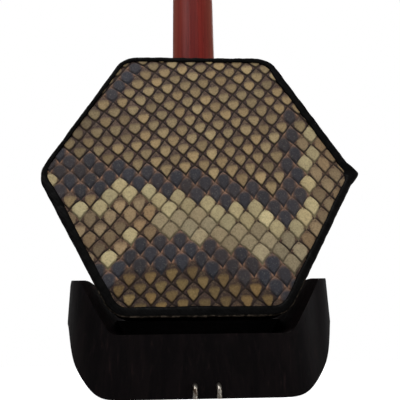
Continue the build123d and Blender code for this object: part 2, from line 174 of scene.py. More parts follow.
# ---- materials ------------------------------------------------------------------------------------
def wood(name, dark, light, streak, grain=(6, 6, 90), pores=(0.5, 0.5, 9), roughness=0.4, coat=0.0,
         specular=0.5, edge=None):
    """Long grain, fine pores and paler streaks; edge is a painted reflection: a paler colour mixed in where
    the surface turns away from the view, standing in for the white room reflected in the lacquer.
    """
    s = Shader(name)
    broad = s.noise(s.coords(grain), 1.0, 5, 0.6, 1.2)
    color = s.mix(s.smooth(broad, 0.36, 0.66), dark, light)
    fine = s.noise(s.coords([size * 0.22 for size in grain]), 1.0, 4, 0.6, 0.4)
    color = s.mix(s.smooth(fine, 0.56, 0.74, 0, 0.7), color, streak)
    pore = s.noise(s.coords(pores), 1.0, 2, 0.6)
    color = s.mix(s.smooth(pore, 0.60, 0.70, 0, 0.55), color, [channel * 0.45 for channel in dark])
    # Painted reflection: a paler colour at grazing angles, standing in for the room mirrored in the lacquer.
    if edge:
        facing = s.node("ShaderNodeLayerWeight").outputs["Facing"]
        color = s.mix(s.smooth(facing, 0.15, 0.85, 0, 0.6), color, edge)
    rough = s.smooth(fine, 0.3, 0.75, roughness - 0.06, roughness + 0.08)
    bump = s.bump(s.math("ADD", s.smooth(pore, 0.58, 0.72, 1, 0), fine), 0.05, 0.35)
    return s.finish(color, rough, bump, coat=coat, specular=specular)


def brass():
    s = Shader("brass")
    swirl = s.noise(s.coords((4, 4, 4)), 1.0, 4, 0.6)
    scratch = s.noise(s.coords((0.25, 5, 0.25)), 1.0, 3, 0.6)
    color = s.mix(s.smooth(swirl, 0.35, 0.7), (206, 170, 96), (150, 112, 58))
    rough = s.smooth(scratch, 0.3, 0.7, 0.22, 0.42)
    return s.finish(color, rough, s.bump(scratch, 0.02, 0.4), metallic=1.0)


def steel():
    s = Shader("steel")
    stain = s.noise(s.coords((1.5, 1.5, 1.5)), 1.0, 4, 0.6)
    scratch = s.noise(s.coords((0.2, 0.2, 3)), 1.0, 3, 0.6)
    color = s.mix(s.smooth(stain, 0.40, 0.62), (172, 166, 156), (84, 70, 58))
    rough = s.smooth(scratch, 0.3, 0.7, 0.24, 0.46)
    return s.finish(color, rough, s.bump(scratch, 0.01, 0.4), metallic=1.0)


def bone():
    s = Shader("bone")
    cloud = s.noise(s.coords((5, 5, 5)), 1.0, 5, 0.6)
    line = s.noise(s.coords((0.5, 7, 0.5)), 1.0, 3, 0.6)
    color = s.mix(s.smooth(cloud, 0.35, 0.7), (236, 226, 200), (214, 198, 162))
    color = s.mix(s.smooth(line, 0.6, 0.72, 0, 0.45), color, (176, 152, 112))
    rough = s.smooth(cloud, 0.3, 0.7, 0.28, 0.4)
    s.bsdf.inputs["Subsurface Weight"].default_value = 0.08
    return s.finish(color, rough, s.bump(line, 0.02, 0.3), coat=0.2)


def fibre():
    s = Shader("fibre")
    fleck = s.noise(s.coords((0.35, 0.35, 0.35)), 1.0, 4, 0.7)
    color = s.mix(s.smooth(fleck, 0.35, 0.7), (92, 52, 36), (132, 84, 58))
    return s.finish(color, 0.8, s.bump(fleck, 0.05, 0.6), specular=0.25)


def felt():
    s = Shader("felt")
    fuzz = s.noise(s.coords((0.25, 0.25, 0.25)), 1.0, 5, 0.75)
    clump = s.noise(s.coords((2.2, 2.2, 2.2)), 1.0, 4, 0.6)
    color = s.mix(s.smooth(fuzz, 0.3, 0.7), (20, 17, 18), (42, 37, 38))
    color = s.mix(s.smooth(clump, 0.45, 0.7, 0, 0.4), color, (54, 48, 48))
    s.bsdf.inputs["Sheen Weight"].default_value = 0.5
    return s.finish(color, 0.95, s.bump(fuzz, 0.12, 0.8), specular=0.2)


def cord():
    s = Shader("cord")
    ply = s.noise(s.coords((0.7, 0.7, 0.25)), 1.0, 3, 0.6)
    color = s.mix(s.smooth(ply, 0.35, 0.65), (168, 148, 112), (204, 188, 152))
    return s.finish(color, 0.8, s.bump(ply, 0.08, 0.6), specular=0.25)


def band_cloth():
    """Black lacquered cloth tape: fine weave, creases, a dull gloss and a painted highlight along its lower
    front edge.
    """
    s = Shader("band_cloth")
    weave = s.node("ShaderNodeTexWave", wave_type="BANDS", bands_direction="DIAGONAL")
    s.link(s.coords((1, 1, 1)), weave.inputs["Vector"])
    weave.inputs["Scale"].default_value = 0.55
    weave.inputs["Distortion"].default_value = 1.5
    crease = s.noise(s.coords((2.2, 2.2, 2.2)), 1.0, 5, 0.6, 0.8)
    fine = s.noise(s.coords((0.3, 0.3, 0.3)), 1.0, 3, 0.6)
    color = s.mix(s.smooth(crease, 0.4, 0.72), (3, 3, 3), (8, 7, 7))
    color = s.mix(s.smooth(fine, 0.62, 0.74, 0, 0.3), color, (16, 14, 13))
    # Painted highlight: a pale line along the lip's lower front edge, broken up by the creases. It stands in
    # for light caught on the tape's rolled edge.
    painted_highlight = s.node("ShaderNodeAttribute", attribute_name="painted_highlight").outputs["Fac"]
    painted_highlight_mask = s.math("MULTIPLY", painted_highlight, s.smooth(crease, 0.40, 0.56, 1.0, 0.15))
    color = s.mix(painted_highlight_mask, color, (128, 116, 102))
    rough = s.smooth(crease, 0.3, 0.7, 0.34, 0.6)
    height = s.math("ADD", s.math("MULTIPLY", weave.outputs["Fac"], 0.25), crease)
    return s.finish(color, rough, s.bump(height, 0.16, 0.6), specular=0.06)


def snakeskin():
    """Scale plates: the place inside each scale, its colours and its outline come with the mesh.

    cell holds (u, v, dirt), u and v running down the scale's two sides from its root to its tip. spot is
    the plate's colour, and its alpha is where the plate's top starts. rim is the colour round the plate,
    and its alpha is the plate's half width.
    """
    s = Shader("snakeskin")
    cell = s.node("ShaderNodeAttribute", attribute_name="cell").outputs["Vector"]
    spot = s.node("ShaderNodeAttribute", attribute_name="spot")
    rim = s.node("ShaderNodeAttribute", attribute_name="rim")
    plate_color, top = spot.outputs["Color"], spot.outputs["Alpha"]
    rim_color, width = rim.outputs["Color"], rim.outputs["Alpha"]
    parts = s.node("ShaderNodeSeparateXYZ")
    s.link(cell, parts.inputs[0])
    u, v, dirt = parts.outputs
    ragged = s.noise(s.coords((1.0, 1.0, 1.0)), 1.0, 4, 0.65)
    grain = s.noise(s.coords((0.5, 0.5, 0.5)), 1.0, 5, 0.75)
    wobble = s.math("MULTIPLY", s.math("SUBTRACT", ragged, 0.5), 0.55)

    # The plate's outline: 1 on its edge, less inside. Patterned plates start well down their scales.
    side = s.math("ABSOLUTE", s.math("SUBTRACT", u, v))
    drop = s.math("ADD", u, v)
    above = s.math("SUBTRACT", PLATE_MIDDLE, drop)
    below = s.math("SUBTRACT", drop, PLATE_MIDDLE, clamp=True)
    rise = s.math("DIVIDE", above, s.math("SUBTRACT", PLATE_MIDDLE, top), clamp=True)
    patterned = s.smooth(top, 0.30, 0.40)
    taper = s.math("MULTIPLY", s.math("MULTIPLY", below, patterned), TIP_TAPER)
    outline = s.norm(s.math("ADD", s.math("DIVIDE", side, width), taper), rise, OUTLINE_POWER)
    body = s.smooth(s.math("ADD", outline, wobble), 0.88, 1.10, 1, 0)

    # The gap beside it, the plate itself, and the plate's edge and upper part shaded towards the rim.
    root = s.math("ADD", s.math("MINIMUM", u, v), s.math("MULTIPLY", wobble, 0.1))
    color = s.mix(s.smooth(root, 0.06, 0.15, 1, 0), s.mix(0.55, rim_color, (38, 30, 28)), rim_color)
    color = s.mix(body, color, plate_color)
    halo = s.math("MULTIPLY", s.smooth(outline, 0.62, 0.95), body)
    color = s.mix(s.math("MULTIPLY", halo, 0.22), color, rim_color)
    shaded = s.math("MULTIPLY", s.smooth(rise, 0.0, 1.0), s.math("MULTIPLY", patterned, 0.65))
    color = s.mix(shaded, color, rim_color)

    # Grain, a painted shadow along each scale's lower tip edge (stronger beside dark rims), clouding and
    # dirt.
    color = s.mix(s.smooth(grain, 0.38, 0.72, 0.0, 0.42), color, (44, 35, 30))
    color = s.mix(s.smooth(grain, 0.28, 0.46, 0.20, 0.0), color, (190, 176, 144))
    # Painted shadow: a near-black band on the steep lower flank of each tip, where the step down to the next
    # scale would be in shade. depth sets how dark this painted shadow is, darker beside dark rims.
    tip = s.norm(u, v, TIP_POWER)
    depth = s.smooth(rim.outputs["Fac"], 0.07, 0.13, 0.94, 0.30)
    color = s.mix(s.math("MULTIPLY", s.smooth(tip, 0.85, 0.95), depth), color, (20, 14, 12))
    cloud = s.noise(s.coords((14, 14, 14)), 1.0, 3, 0.5)
    color = s.mix(s.smooth(cloud, 0.4, 0.7, 0.0, 0.16), color, (64, 50, 42))
    color = s.mix(s.math("MULTIPLY", dirt, 0.3), color, (70, 54, 44))
    rough = s.smooth(grain, 0.3, 0.7, 0.50, 0.72)
    return s.finish(color, rough, s.bump(grain, 0.16, 0.8), specular=0.18)


def stage_floor():
    """Pale floor, bright enough to melt into the background as paper does under studio light."""
    s = Shader("stage_floor")
    mottle = s.noise(s.coords((60, 60, 60)), 1.0, 3, 0.5)
    s.bsdf.inputs["Emission Color"].default_value = (1, 1, 1, 1)
    seen = s.node("ShaderNodeLightPath").outputs["Is Camera Ray"]
    s.link(seen, s.bsdf.inputs["Emission Strength"])
    return s.finish(s.mix(mottle, (236, 236, 236), (244, 244, 243)), 0.9, specular=0.1)


def tube_wood():
    return wood("tube_wood", dark=(58, 22, 20), light=(92, 38, 30), streak=(112, 54, 40),
                grain=(5, 60, 5), pores=(0.5, 8, 0.5), roughness=0.36, coat=0.15)


def neck_wood():
    # The edge colour is a painted reflection of the room in the neck's lacquer.
    return wood("neck_wood", dark=(100, 29, 27), light=(119, 38, 33), streak=(130, 50, 42),
                grain=(1.6, 1.6, 80), pores=(0.35, 0.35, 9), roughness=0.42, coat=0.02, specular=0.05,
                edge=(140, 84, 66))


def peg_wood():
    return wood("peg_wood", dark=(28, 19, 18), light=(52, 32, 28), streak=(72, 46, 38),
                grain=(4, 50, 4), pores=(0.4, 8, 0.4), roughness=0.36, coat=0.15)


def base_wood():
    return wood("base_wood", dark=(4, 2, 3), light=(12, 7, 8), streak=(28, 18, 18),
                grain=(5, 5, 22), pores=(0.7, 0.7, 5), roughness=0.42, specular=0.07)


MATERIALS = {
    "tube_wood": tube_wood,
    "neck_wood": neck_wood,
    "peg_wood": peg_wood,
    "base_wood": base_wood,
    "brass": brass,
    "bone": bone,
    "fibre": fibre,
    "steel": steel,
    "snakeskin": snakeskin,
    "band_cloth": band_cloth,
    "felt": felt,
    "cord": cord,
}


def dress_cad(made):
    """Gives every CAD node the material of its slot in the record."""
    for part in frame["record"]["subparts"]:
        obj = frame["nodes"][part["node"]]
        obj.data.materials.clear()
        obj.data.materials.append(made[part["material_slot"]])


# ---- hexagon helpers ------------------------------------------------------------------------------
def rounded_hexagon(apothem, radius, step):
    """Points (x, z) and outward normals round a rounded hexagon, from the right corner."""
    centre_reach = (apothem - radius) / math.cos(math.radians(30))
    points = []
    for k in range(6):
        centre = turned(60 * k) * centre_reach
        count = max(6, int(radius * math.radians(60) / step))
        for m in range(count + 1):
            out = turned(60 * k - 30 + 60 * m / count)
            points.append((centre + out * radius, out))
        out = turned(60 * k + 30)
        start = centre + out * radius
        end = turned(60 * (k + 1)) * centre_reach + out * radius
        count = max(2, int((end - start).length / step))
        for m in range(1, count):
            points.append((start.lerp(end, m / count), out))
    return points


def turned(degrees):
    """Unit vector (x, z) at an angle from +X."""
    return Vector((math.cos(math.radians(degrees)), math.sin(math.radians(degrees))))


def smoothstep(value, low, high):
    """Rises smoothly from 0 at low to 1 at high."""
    t = min(1.0, max(0.0, (value - low) / (high - low)))
    return t * t * (3 - 2 * t)


def norm(a, b, power):
    """A rounded maximum of a and b, as Shader.norm is in nodes."""
    return (a ** power + b ** power) ** (1 / power)


def smooth_face(bm, verts):
    face = bm.faces.new(verts)
    face.smooth = True
    return face


def add_piece(bm, name, material, node):
    """Closes a bmesh as a piece on the instrument's body that stands for one CAD node."""
    bmesh.ops.recalc_face_normals(bm, faces=bm.faces)
    mesh = bpy.data.meshes.new(name)
    bm.to_mesh(mesh)
    bm.free()
    piece = bpy.data.objects.new(name, mesh)
    bpy.context.scene.collection.objects.link(piece)
    seat_piece(piece, material, node)


def seat_piece(piece, material, node):
    piece.data.materials.clear()
    piece.data.materials.append(material)
    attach(piece, ROOT)
    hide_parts(node)


# ---- snakeskin ------------------------------------------------------------------------------------
# The scales sit on a warped lattice. Both steps run downwards, so a scale's tip is its (1, 1) corner.
# Everything here is in millimetres from the centre of the face, seen from the front.
ORIGIN = (-0.79, -3.49)
STEP_A = (3.16, -2.97)
STEP_B = (-2.75, -3.91)
# How the steps stretch and turn across the skin, by powers of (a, b).
STRETCH = {
    (2, 0): (-0.006, -0.017), (1, 1): (-0.009, 0.012), (0, 2): (-0.007, 0.0105),
    (3, 0): (0.0016, -0.0010), (2, 1): (0.0015, 0.0045), (1, 2): (0.0005, 0.0017), (0, 3): (-0.0012, 0.0021),
}
LATTICE_REACH = 20           # cells drawn each way from the origin, before the rim trims them
ARCH = 0.060                 # how far the scales' upper edges arch up below the middle, in lattice steps
SCALLOP = 0.03               # how far their lower edges bow out near the top
JITTER = 0.42                # how far the lattice wanders, in millimetres
DRIFT_SIZE = 6.5             # breadth of that wander
DRIFT_LAYERS = (3.1, 9.7)    # slices of the noise for its two directions: noise_vector varies by the run
CELL_MARGIN = 4.5            # scales centred this far outside the rim are left out
RIM_INSET = 0.6              # how far inside the CAD skin the sheet is cut
CORNER_CUT = 1.1             # how much the cut takes off the sheet's corners

SKIN_SEED = 7
RELIEF = 0.50                # height of a scale's tip over the grooves
RELIEF_TOP = 0.25            # where the raised plate starts, measured down the scale
RELIEF_HALF_WIDTH = 0.62     # of the raised plate, as a share of the scale's
SKIN_SINK = 0.12             # how far the grooves lie behind the CAD face
TIP_POWER = 14               # higher is a sharper tip
TIP_TAPER = 0.60             # how fast a patterned plate narrows to its tip
OUTLINE_POWER = 3            # higher is a squarer top
PLATE_MIDDLE = 1.0           # where a plate is widest, measured down the scale: 0 at its root, 2 at its tip
PLATE_LINES = (0, 0.03, 0.08, 0.16, 0.28, 0.42, 0.56, 0.70, 0.82, 0.90, 0.955, 1)

# Colour bands across the skin: (x, z, half width) along each band.
SLATE_UPPER = (
    (-46, 1.5, 6.5), (-40, 0, 8), (-34, -0.5, 6.5), (-27, 1, 3.5), (-17, -1, 3.5), (-9, -3, 4.5),
    (-2, -3, 4.5), (6, -5, 5), (14, -7.5, 4.5), (21, -9.5, 5), (26.5, -12.5, 4.5),
)
SLATE_SIDE = ((26.5, -12.5, 4), (30, -6, 4), (31, 12, 3), (32.5, 21, 2))
SLATE_CORNER = ((-29, 30.5, 2), (-23.5, 36.5, 3), (-20, 41, 2.5))
SLATE_LOWER = (
    (-30.5, -31.5, 3.5), (-25, -28.5, 4), (-13, -23.5, 4.5), (-7, -24.5, 4.5), (0.5, -27, 4.5),
    (8, -26.5, 4.5), (19, -29.5, 4), (23.5, -32.5, 4.5), (25.5, -37, 4),
)
CREAM_UPPER = (
    (-37, -11, 2.4), (-31, -11, 2.2), (-24.5, -4.5, 2.4), (-18.5, -5, 2.6), (-12.5, -6, 2.4), (-9, -9, 2.4),
    (-2.5, -8.5, 2.6), (6.5, -13.5, 2.6), (18, -13.5, 2.6), (24.5, -19, 2.4), (28.5, -19, 2.4),
)
CREAM_SIDE = ((28.5, -19, 2.4), (35.5, -9, 2.2), (35.5, 3.5, 2.4), (37.5, 8, 2.2), (37, 19.5, 2))
CREAM_SPOTS = ((-28, -25.5), (-20, -21.5), (-46, -3.5))
SPOT_REACH = 2.4
PALE_BAND = (
    (-12, -13.5, 2.5), (-5.5, -15, 4.5), (0.5, -15.5, 5.5), (6.5, -17.5, 5), (14, -19, 4.5),
    (19.5, -21.5, 3.5), (28, -29.5, 2.5),
)


class Plate(NamedTuple):
    """One kind of scale: colours, how far they vary, where its top starts and its half width."""
    color: tuple
    color_spread: float
    line: tuple
    line_spread: float
    top: float
    top_spread: float
    width: float


CREAM_COLOR, CREAM_LINE = (212, 195, 148), (108, 86, 64)
PALE_COLOR, PALE_LINE = (176, 160, 126), (110, 90, 68)
RUST_COLOR, RUST_LINE = (160, 136, 102), (96, 72, 58)

CREAM = Plate(CREAM_COLOR, 0.08, CREAM_LINE, 0, 0.16, 0, 0.74)
CREAM_SPOT = Plate(CREAM_COLOR, 0.05, CREAM_LINE, 0, 0.18, 0, 0.70)
PALE = Plate(PALE_COLOR, 0.08, PALE_LINE, 0, 0.14, 0, 0.86)
PALE_BROWN = Plate(PALE_COLOR, 0.10, RUST_LINE, 0.10, 0.26, 0, 0.66)
SLATE = Plate((52, 54, 62), 0.10, (150, 114, 92), 0.10, 0.26, 0, 0.70)
OLIVE = Plate((136, 112, 70), 0.14, (58, 42, 38), 0.12, 0.60, 0, 0.54)
RUST_RIGHT = Plate(RUST_COLOR, 0.12, RUST_LINE, 0.10, 0.34, 0, 0.62)
RUST_LEFT = Plate(RUST_COLOR, 0.18, RUST_LINE, 0.12, 0.36, 0.10, 0.58)
TAN = Plate((172, 149, 108), 0.10, (80, 60, 56), 0.10, 0.54, 0.08, 0.58)


def lattice_point(s, t):
    """Where lattice position (s, t) falls on the face, with the lines between scales bowed."""
    height = ORIGIN[1] + STEP_A[1] * s + STEP_B[1] * t
    bow = SCALLOP - (SCALLOP + ARCH) * smoothstep(-height, -16, 2)
    a = s + bow * math.sin(math.pi * (t % 1.0))
    b = t + bow * math.sin(math.pi * (s % 1.0))
    place = Vector(ORIGIN) + Vector(STEP_A) * a + Vector(STEP_B) * b
    for (m, n), stretch in STRETCH.items():
        place += Vector(stretch) * (a ** m * b ** n)
    x, z = place[0] / DRIFT_SIZE, place[1] / DRIFT_SIZE
    drift = [noise.noise((x, z, layer)) for layer in DRIFT_LAYERS]
    return place + Vector(drift) * JITTER


def plate_height(u, v):
    """Relief inside one scale: a rounded plate with a proud lower tip, lying in a sunken gap."""
    rise = max(0.0, (PLATE_MIDDLE - u - v) / (PLATE_MIDDLE - RELIEF_TOP))
    outline = norm(abs(u - v) / RELIEF_HALF_WIDTH, rise, OUTLINE_POWER)
    plate = 1 - smoothstep(outline, 0.72, 1.12)
    edge = smoothstep(1 - norm(u, v, TIP_POWER), 0.0, 0.10)
    root = smoothstep(min(u, v), 0.0, 0.10)
    lean = 0.55 + 0.45 * (u + v) / 2
    return RELIEF * edge * root * lean * (0.22 + 0.78 * plate)


def deepest(point, *bands):
    """How far inside the nearest of the colour bands a point lies, negative outside them all."""
    best = -math.inf
    for band in bands:
        for (x0, z0, width0), (x1, z1, width1) in zip(band, band[1:]):
            start, along = Vector((x0, z0)), Vector((x1 - x0, z1 - z0))
            f = min(1.0, max(0.0, (point - start).dot(along) / along.length_squared))
            best = max(best, width0 + (width1 - width0) * f - (point - start - along * f).length)
    return best


BORDER_WANDER = 0.9          # how far the colour bands' borders stray, in millimetres
WARMTH = 0.18                # how much of a colour's variation goes into its warmth
LEFT_SHADE = 0.16            # how much darker the tan scales get towards the left
LEFT_SHADE_SPAN = (8, 44)    # distance left of the middle over which they do


def choose_plate(point, wander):
    """The kind of scale at point; wander moves the borders of the colour bands, in millimetres."""
    x, z = point
    if any((point - Vector(spot)).length < SPOT_REACH for spot in CREAM_SPOTS):
        return CREAM_SPOT
    if deepest(point, CREAM_UPPER, CREAM_SIDE) + wander * 0.3 > 0.2:
        return CREAM
    if deepest(point, SLATE_UPPER, SLATE_SIDE, SLATE_CORNER) + wander > 0:
        return SLATE
    if deepest(point, PALE_BAND) + wander * 0.5 > 0:
        return PALE
    if deepest(point, SLATE_LOWER) + wander > 0:
        return SLATE
    if z < -27 - 0.10 * abs(x - 5):     # the patch along the bottom, under the lower slate band
        return OLIVE
    if x > 31 and z < 16:               # the corner outside the cream band's rise
        return RUST_RIGHT
    if x < -5 and z < -9:               # between the cream and the lower slate bands, at the left
        return RUST_LEFT
    return PALE_BROWN if z < -12 else TAN


def vary(color, amount, rng):
    """A colour with its brightness and warmth nudged."""
    light = 1 + rng.uniform(-amount, amount)
    warm = rng.uniform(-amount, amount) * WARMTH
    return (color[0] * light * (1 + warm), color[1] * light, color[2] * light * (1 - warm))


def paint_scale(point, rng):
    """(spot, rim) attribute values of the scale centred at point."""
    plate = choose_plate(point, rng.uniform(-BORDER_WANDER, BORDER_WANDER))
    shade = 1 - smoothstep(-point[0], *LEFT_SHADE_SPAN) * LEFT_SHADE if plate is TAN else 1.0
    color = vary([channel * shade for channel in plate.color], plate.color_spread, rng)
    line = vary(plate.line, plate.line_spread, rng) if plate.line_spread else plate.line
    top = plate.top + (rng.uniform(-plate.top_spread, plate.top_spread) if plate.top_spread else 0)
    return (*rgb(color)[:3], top), (*rgb(line)[:3], plate.width)


def hexagon_reach(point):
    """Apothem of the hexagon, flats at top and bottom, that passes through point."""
    x, z = abs(point[0]), abs(point[1])
    return max(z, x * math.cos(math.radians(30)) + z * 0.5)


def build_snakeskin(material):
    """The skin face as one mesh of raised plates, turned back round the tube as a skirt."""
    rng = random.Random(SKIN_SEED)
    apothem_mm = SKIN_APOTHEM / MM
    bm = bmesh.new()
    cell_layer = bm.loops.layers.float_vector.new("cell")
    spot_layer = bm.loops.layers.float_color.new("spot")
    rim_layer = bm.loops.layers.float_color.new("rim")
    verts = {}
    last = len(PLATE_LINES) - 1

    def vertex(i, j, a, b):
        """The vertex at plate line (a, b) of cell (i, j), shared with the cells next to it."""
        key = (i * last + a, j * last + b)
        if key not in verts:
            u, v = PLATE_LINES[a], PLATE_LINES[b]
            x, z = lattice_point(i + u, j + v)
            lift = plate_height(u, v) * MM
            verts[key] = bm.verts.new((x * MM, FACE_Y + SKIN_SINK * MM - lift, FACE_Z + z * MM))
        return verts[key]

    cells = range(-LATTICE_REACH, LATTICE_REACH + 1)
    for i, j in itertools.product(cells, cells):
        centre = lattice_point(i + 0.5, j + 0.5)
        if hexagon_reach(centre) > apothem_mm + CELL_MARGIN:
            continue
        spot, rim = paint_scale(centre, rng)
        dirt = rng.random()
        for a, b in itertools.product(range(last), range(last)):
            ring = ((a, b), (a + 1, b), (a + 1, b + 1), (a, b + 1))
            face = smooth_face(bm, [vertex(i, j, *corner) for corner in ring])
            for loop, (p, q) in zip(face.loops, ring):
                loop[cell_layer] = (PLATE_LINES[p], PLATE_LINES[q], dirt)
                loop[spot_layer] = spot
                loop[rim_layer] = rim
    trim_to_hexagon(bm, apothem_mm - RIM_INSET)
    skirt = bmesh.ops.extrude_edge_only(bm, edges=[e for e in bm.edges if e.is_boundary])
    for element in skirt["geom"]:
        if isinstance(element, bmesh.types.BMVert):
            element.co.y = SKIN_BACK_Y
        elif isinstance(element, bmesh.types.BMFace):
            for loop in element.loops:
                loop[cell_layer] = (0.5, 0.5, 0.0)
                loop[spot_layer] = (*rgb(TAN.color)[:3], TAN.top)
                loop[rim_layer] = (*rgb(TAN.line)[:3], TAN.width)
    order_faces(bm)
    add_piece(bm, "snakeskin_relief", material, "snakeskin")


def trim_to_hexagon(bm, apothem):
    """Cuts the sheet along the hexagon's six sides and takes its corners off."""
    corner = apothem / math.cos(math.radians(30)) - CORNER_CUT
    cuts = [(30 + 60 * k, apothem) for k in range(6)] + [(60 * k, corner) for k in range(6)]
    for degrees, distance in cuts:
        x, z = turned(degrees)
        out = Vector((x, 0, z))
        bmesh.ops.bisect_plane(
            bm, geom=bm.verts[:] + bm.edges[:] + bm.faces[:], dist=1e-7, clear_outer=True,
            plane_co=Vector((0, 0, FACE_Z)) + out * distance * MM, plane_no=out,
        )


def order_faces(bm):
    """Gives the faces a fixed order: an extrusion's new faces come in another order on every run."""
    bm.verts.index_update()
    ordered = sorted(bm.faces, key=lambda face: sorted(vert.index for vert in face.verts))
    for n, face in enumerate(ordered):
        face.index = n
    bm.faces.sort()


# ---- edge band ------------------------------------------------------------------------------------
BAND_RADIUS = 8.0            # rounding of the hexagon's corners
BAND_STEP = 0.45             # spacing of the sections round it
LIP_WIDTHS = (2.7, 1.7, 1.4, 3.0, 3.0, 2.6)   # on the sides at 30, 90, 150, 210, 270 and 330 degrees
# The lip on the skin: (share of its width inwards, height over the face).
LIP_PROFILE = ((1.0, 0.10), (0.97, 0.50), (0.86, 0.72), (0.60, 0.80), (0.30, 0.86))
# The rolled edge and the side: (offset outwards, depth behind the face).
SIDE_PROFILE = (
    (-0.50, -0.84), (-0.20, -0.66), (-0.03, -0.30), (0.0, 0.3), (-0.02, 1.6), (0.0, 3.2), (0.0, 5.2),
    (-0.01, 7.4), (0.0, 9.6), (-0.02, 11.6),
)
# The back edge: (offset outwards, distance in front of the band's back).
BACK_PROFILE = ((-0.10, 0.4), (-0.45, 0), (-0.80, 0))
CREASES = ((0.22, 3.0, 2), (0.10, 1.1, 3))    # depth, breadth and seed of the tape's wrinkles
LIP_WAVER = (0.35, 7, 1)     # the same for the lip's inner edge
SEED_STEP = 17.3
PINCH_Z = 0.3                # the overlapped end at the right corner: its height from the axis,
PINCH_REACH = 4.2            # how far it spreads up and down,
PINCH_DEPTH = 2.1            # how far it stands out,
PINCH_POWER = 1.3            # and how sharply it peaks
FRONT_ROW = 6                # the section's last row that still faces forwards
PAINTED_HIGHLIGHT_ROWS = (6, 7)           # rows that the painted highlight line runs along
PAINTED_HIGHLIGHT_FROM = (30, 41)         # distance below the axis over which the painted highlight grows


def lip_width(degrees):
    """Width of the band's lip on the face, eased from each side of the hexagon to the next."""
    turn = (degrees - 30) % 360 / 60
    low = int(turn)
    f = smoothstep(turn - low, 0.3, 0.7)
    return LIP_WIDTHS[low % 6] * (1 - f) + LIP_WIDTHS[(low + 1) % 6] * f


def wrinkle(point, size, seed):
    """Smooth noise of one breadth; each seed reads it in another place."""
    return noise.noise(Vector((point[0] / size, point[1] / size, point[2] / size + seed * SEED_STEP)))


def band_section(position, out):
    """One section of the tape, from the lip's inner edge to the back: (x, y, z) in millimetres and the
    strength of the painted highlight.
    """
    front, back = FACE_Y / MM, BAND_BACK_Y / MM
    lip = lip_width(math.degrees(math.atan2(position[1], position[0])))
    depth, size, seed = LIP_WAVER
    lip += depth * wrinkle((position[0], position[1], 0), size, seed)
    rows = [(-lip * share, front - height) for share, height in LIP_PROFILE]
    rows += [(offset, front + depth) for offset, depth in SIDE_PROFILE]
    rows += [(offset, back - ahead) for offset, ahead in BACK_PROFILE]
    pinch = max(0.0, 1 - abs(position[1] - PINCH_Z) / PINCH_REACH) ** PINCH_POWER
    if position[0] < 0:
        pinch = 0.0
    section = []
    for n, (offset, y) in enumerate(rows):
        x, z = position + out * offset
        crease = sum(depth * wrinkle((x, y, z), size, seed) for depth, size, seed in CREASES)
        if n in (0, len(rows) - 1):
            crease = 0.0
        swell = pinch * PINCH_DEPTH * min(n, 3) / 3 * smoothstep(back - y, 0, 9)
        outwards = crease * 0.6 + swell if n > len(LIP_PROFILE) else swell
        forwards = crease * 0.5 if n <= FRONT_ROW else 0.0
        # Painted highlight on the lip's lower front edge rows, growing stronger further below the axis.
        painted_highlight = smoothstep(-position[1], *PAINTED_HIGHLIGHT_FROM) if n in PAINTED_HIGHLIGHT_ROWS else 0.0
        section.append(((x + out[0] * outwards, y - forwards, z + out[1] * outwards), painted_highlight))
    return section


def build_edge_band(material):
    """Tape wrapped round the skirt and turned over the skin's edge, pinched up at the right corner."""
    bm = bmesh.new()
    # Carries the painted highlight to the band's material.
    painted_highlight_layer = bm.verts.layers.float.new("painted_highlight")
    sections = []
    for position, out in rounded_hexagon(BAND_APOTHEM / MM, BAND_RADIUS, BAND_STEP):
        row = []
        for (x, y, z), painted_highlight in band_section(position, out):
            row.append(bm.verts.new((x * MM, y * MM, FACE_Z + z * MM)))
            row[-1][painted_highlight_layer] = painted_highlight
        sections.append(row)
    for row, following in zip(sections, sections[1:] + sections[:1]):
        for n in range(len(row) - 1):
            smooth_face(bm, (row[n], row[n + 1], following[n + 1], following[n]))
    add_piece(bm, "edge_band_wrap", material, "edge_band")


# ---- felt pad and cord loop -----------------------------------------------------------------------
FELT_CELLS = 88              # voxels across the pad
FELT_FUZZ = 0.12             # depth of the felt's lumps, in millimetres
FUZZ_SIZE = 1.1              # and their breadth
FELT_SWELL = 0.25            # how far its edges swell out
FELT_EDGE = (0.90, 1.0)      # where they start to, and are fully swollen, from the middle outwards


def build_felt(material):
    """Felt between the base and the tube: pressed flat where it bears, with soft, swollen, fuzzy edges."""
    low, high = map(Vector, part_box("seat_pad"))
    pad = frame["nodes"]["seat_pad"]
    piece = pad.copy()
    piece.data = pad.data.copy()
    piece.name = piece.data.name = "seat_felt"
    bpy.context.scene.collection.objects.link(piece)
    remesh = piece.modifiers.new("remesh", "REMESH")
    remesh.mode = "VOXEL"
    remesh.voxel_size = (high[0] - low[0]) / FELT_CELLS
    apply_modifiers(piece)
    middle = (low + high) / 2
    half = (high - low) / 2
    normals = [vert.normal.copy() for vert in piece.data.vertices]
    for vert, normal in zip(piece.data.vertices, normals):
        fuzz = noise.noise(vert.co / (FUZZ_SIZE * MM)) * FELT_FUZZ * MM
        place = vert.co - middle
        side = max(abs(place.x) / half.x, abs(place.y) / half.y)
        swell = smoothstep(side, *FELT_EDGE) * FELT_SWELL * MM
        vert.co += Vector((normal.x, normal.y, 0)) * (swell + abs(fuzz))
    for face in piece.data.polygons:
        face.use_smooth = True
    seat_piece(piece, material, "seat_pad")


